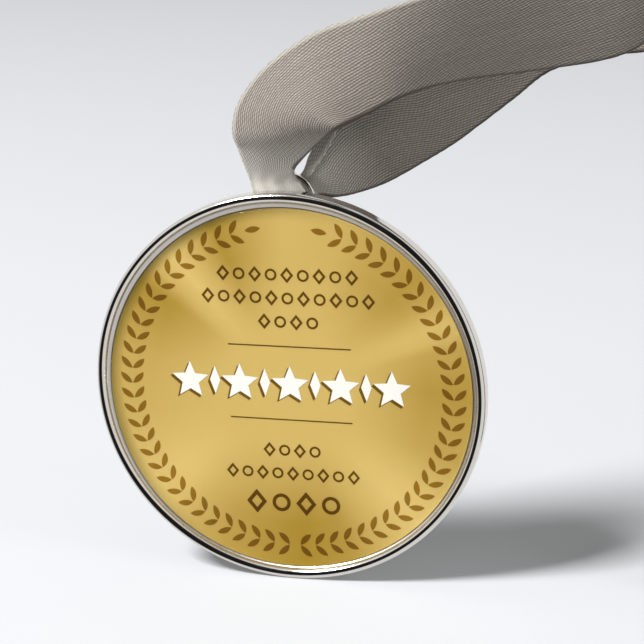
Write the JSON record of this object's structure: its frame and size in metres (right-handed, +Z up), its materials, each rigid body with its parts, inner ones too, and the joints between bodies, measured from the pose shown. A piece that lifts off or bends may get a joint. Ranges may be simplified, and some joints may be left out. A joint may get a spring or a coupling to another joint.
{
  "type": "sports finisher medal",
  "caption": "Round medal with a rounded silver rim, a domed gold face with a laurel wreath, and a neck ribbon through a wire ring.",
  "frame": {"origin": "centre of the medal's flat back face", "axes": "+Z up, from the medal's centre to its ring; the face looks along -Y, so +Y is the outward normal of the back face; +X is to the right as the face is read"},
  "size_m": [0.1131, 0.0273, 0.1027],
  "materials": {
    "plated_metal": "polished silver plating on a zinc casting",
    "adhesive": "thin double-sided sheet",
    "gold_print": "satin gold print on a thin metal disc",
    "leaf_ink": "printed dark gold",
    "dark_ink": "printed dark brown gold",
    "shadow_ink": "printed dark gold",
    "white_ink": "printed white",
    "dome": "clear cast resin",
    "ring_wire": "polished silver plating on steel wire",
    "ribbon_cloth": "plain woven warm grey polyester",
    "thread": "polyester sewing thread"
  },
  "bodies": {
    "ribbon": {"ribbon_front_leg": "ribbon_cloth", "ribbon_fold": "ribbon_cloth", "ribbon_back_leg": "ribbon_cloth", "ribbon_roll": "ribbon_cloth", "seam_stitches": "thread"},
    "ring": {"jump_ring": "ring_wire"},
    "medal": {"medal_body": "plated_metal", "insert_adhesive": "adhesive", "printed_insert": "gold_print", "laurel_left": "leaf_ink", "laurel_right": "leaf_ink", "upper_ornaments": "dark_ink", "lower_ornaments": "dark_ink", "rule_lines": "dark_ink", "star_shadows": "shadow_ink", "star_row": "white_ink", "clear_dome": "dome", "hanger_lug": "plated_metal"}
  },
  "joints": [
    {"name": "ring_swing", "type": "hinge", "parent": "ribbon", "child": "ring", "pos_m": [0, 0.0023, 0.0336], "axis": [1, 0, 0], "range_deg": [-10, 4]},
    {"name": "medal_tilt", "type": "hinge", "parent": "ring", "child": "medal", "pos_m": [0, 0.0023, 0.0258], "axis": [1, 0, 0], "range_deg": [-2, 90]}
  ]
}
